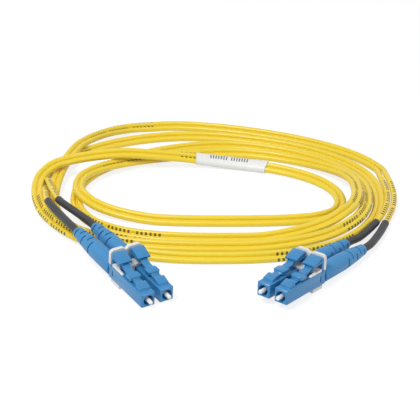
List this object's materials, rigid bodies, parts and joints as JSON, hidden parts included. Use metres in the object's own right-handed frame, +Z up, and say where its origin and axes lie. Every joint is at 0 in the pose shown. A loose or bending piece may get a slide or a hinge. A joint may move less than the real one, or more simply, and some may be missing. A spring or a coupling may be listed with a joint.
{
  "type": "fiber optic patch cord",
  "caption": "Duplex fibre patch cord with a latching square plug pair at each end, soft boots, dark sleeves and one flat twin cord, stored as a loose hand-wound coil.",
  "frame": {"origin": "on the surface that the cord lies on, under the middle of the box round the two plug assemblies with their boots and sleeves", "axes": "+Z up from the surface, +X from the left plug's side to the right plug's side, +Y from the plugs' noses towards the back of the coil"},
  "size_m": [0.1256, 0.1445, 0.0113],
  "materials": {
    "blue_plastic": "satin moulded plastic",
    "blue_boot": "soft matt elastomer",
    "white_plastic": "moulded, slightly translucent",
    "white_ceramic": "polished ceramic",
    "plated_metal": "nickel-plated brass",
    "spring_steel": "bright wire",
    "fibre_buffer": "smooth extruded buffer",
    "dark_sleeve": "shrunk tube",
    "yellow_jacket": "extruded cord jacket",
    "white_label": "smooth film"
  },
  "bodies": {
    "cord_and_plugs": {"right_outer_front_housing": "blue_plastic", "right_outer_rear_body": "blue_plastic", "right_outer_spring": "spring_steel", "right_outer_crimp_body": "plated_metal", "right_outer_crimp_sleeve": "plated_metal", "right_outer_buffered_fibre": "fibre_buffer", "right_outer_boot": "blue_boot", "right_outer_shrink_sleeve": "dark_sleeve", "right_outer_leg": "yellow_jacket", "right_inner_front_housing": "blue_plastic", "right_inner_rear_body": "blue_plastic", "right_inner_spring": "spring_steel", "right_inner_crimp_body": "plated_metal", "right_inner_crimp_sleeve": "plated_metal", "right_inner_buffered_fibre": "fibre_buffer", "right_inner_boot": "blue_boot", "right_inner_shrink_sleeve": "dark_sleeve", "right_inner_leg": "yellow_jacket", "left_outer_front_housing": "blue_plastic", "left_outer_rear_body": "blue_plastic", "left_outer_spring": "spring_steel", "left_outer_crimp_body": "plated_metal", "left_outer_crimp_sleeve": "plated_metal", "left_outer_buffered_fibre": "fibre_buffer", "left_outer_boot": "blue_boot", "left_outer_shrink_sleeve": "dark_sleeve", "left_outer_leg": "yellow_jacket", "left_inner_front_housing": "blue_plastic", "left_inner_rear_body": "blue_plastic", "left_inner_spring": "spring_steel", "left_inner_crimp_body": "plated_metal", "left_inner_crimp_sleeve": "plated_metal", "left_inner_buffered_fibre": "fibre_buffer", "left_inner_boot": "blue_boot", "left_inner_shrink_sleeve": "dark_sleeve", "left_inner_leg": "yellow_jacket", "right_duplex_clip": "white_plastic", "left_duplex_clip": "white_plastic", "cord_coil": "yellow_jacket", "label": "white_label"},
    "right_outer_trigger_body": {"right_outer_trigger": "blue_plastic"},
    "right_outer_latch_body": {"right_outer_latch": "blue_plastic"},
    "right_outer_ferrule_body": {"right_outer_ferrule": "white_ceramic", "right_outer_ferrule_holder": "plated_metal"},
    "right_inner_trigger_body": {"right_inner_trigger": "blue_plastic"},
    "right_inner_latch_body": {"right_inner_latch": "blue_plastic"},
    "right_inner_ferrule_body": {"right_inner_ferrule": "white_ceramic", "right_inner_ferrule_holder": "plated_metal"},
    "left_outer_trigger_body": {"left_outer_trigger": "blue_plastic"},
    "left_outer_latch_body": {"left_outer_latch": "blue_plastic"},
    "left_outer_ferrule_body": {"left_outer_ferrule": "white_ceramic", "left_outer_ferrule_holder": "plated_metal"},
    "left_inner_trigger_body": {"left_inner_trigger": "blue_plastic"},
    "left_inner_latch_body": {"left_inner_latch": "blue_plastic"},
    "left_inner_ferrule_body": {"left_inner_ferrule": "white_ceramic", "left_inner_ferrule_holder": "plated_metal"}
  },
  "joints": [
    {"name": "right_outer_trigger_hinge", "type": "hinge", "parent": "cord_and_plugs", "child": "right_outer_trigger_body", "pos_m": [0.02977, -0.01588, 0.00615], "axis": [0.7826, -0.6225, 0], "range_deg": [0, 12], "stiffness_Nm_per_rad": 0.0005, "springref_deg": -2.86},
    {"name": "right_outer_latch_hinge", "type": "hinge", "parent": "cord_and_plugs", "child": "right_outer_latch_body", "pos_m": [0.02154, -0.02623, 0.0069], "axis": [-0.7826, 0.6225, 0], "range_deg": [0, 5], "stiffness_Nm_per_rad": 0.0005},
    {"name": "right_outer_ferrule_slide", "type": "slide", "parent": "cord_and_plugs", "child": "right_outer_ferrule_body", "axis": [0.6219, 0.7818, -0.0454], "range_m": [0, 0.001], "stiffness_N_per_m": 2500, "springref_m": -0.002, "deforming": ["right_outer_spring"]},
    {"name": "right_inner_trigger_hinge", "type": "hinge", "parent": "cord_and_plugs", "child": "right_inner_trigger_body", "pos_m": [0.02488, -0.01199, 0.00615], "axis": [0.7826, -0.6225, 0], "range_deg": [0, 12], "stiffness_Nm_per_rad": 0.0005, "springref_deg": -2.86},
    {"name": "right_inner_latch_hinge", "type": "hinge", "parent": "cord_and_plugs", "child": "right_inner_latch_body", "pos_m": [0.01665, -0.02234, 0.0069], "axis": [-0.7826, 0.6225, 0], "range_deg": [0, 5], "stiffness_Nm_per_rad": 0.0005},
    {"name": "right_inner_ferrule_slide", "type": "slide", "parent": "cord_and_plugs", "child": "right_inner_ferrule_body", "axis": [0.6219, 0.7818, -0.0454], "range_m": [0, 0.001], "stiffness_N_per_m": 2500, "springref_m": -0.002, "deforming": ["right_inner_spring"]},
    {"name": "left_outer_trigger_hinge", "type": "hinge", "parent": "cord_and_plugs", "child": "left_outer_trigger_body", "pos_m": [-0.02952, -0.01375, 0.00676], "axis": [0.8406, 0.5417, 0], "range_deg": [0, 12], "stiffness_Nm_per_rad": 0.0005, "springref_deg": -2.86},
    {"name": "left_outer_latch_hinge", "type": "hinge", "parent": "cord_and_plugs", "child": "left_outer_latch_body", "pos_m": [-0.02237, -0.02485, 0.00561], "axis": [-0.8406, -0.5417, 0], "range_deg": [0, 5], "stiffness_Nm_per_rad": 0.0005},
    {"name": "left_outer_ferrule_slide", "type": "slide", "parent": "cord_and_plugs", "child": "left_outer_ferrule_body", "axis": [-0.5391, 0.8366, 0.0976], "range_m": [0, 0.001], "stiffness_N_per_m": 2500, "springref_m": -0.002, "deforming": ["left_outer_spring"]},
    {"name": "left_inner_trigger_hinge", "type": "hinge", "parent": "cord_and_plugs", "child": "left_inner_trigger_body", "pos_m": [-0.02427, -0.01037, 0.00676], "axis": [0.8406, 0.5417, 0], "range_deg": [0, 12], "stiffness_Nm_per_rad": 0.0005, "springref_deg": -2.86},
    {"name": "left_inner_latch_hinge", "type": "hinge", "parent": "cord_and_plugs", "child": "left_inner_latch_body", "pos_m": [-0.01712, -0.02146, 0.00561], "axis": [-0.8406, -0.5417, 0], "range_deg": [0, 5], "stiffness_Nm_per_rad": 0.0005},
    {"name": "left_inner_ferrule_slide", "type": "slide", "parent": "cord_and_plugs", "child": "left_inner_ferrule_body", "axis": [-0.5391, 0.8366, 0.0976], "range_m": [0, 0.001], "stiffness_N_per_m": 2500, "springref_m": -0.002, "deforming": ["left_inner_spring"]}
  ],
  "couplings": [
    {"joint": "right_outer_latch_hinge", "follows": "right_outer_trigger_hinge", "ratio": 0.4},
    {"joint": "right_inner_latch_hinge", "follows": "right_inner_trigger_hinge", "ratio": 0.4},
    {"joint": "left_outer_latch_hinge", "follows": "left_outer_trigger_hinge", "ratio": 0.4},
    {"joint": "left_inner_latch_hinge", "follows": "left_inner_trigger_hinge", "ratio": 0.4}
  ]
}
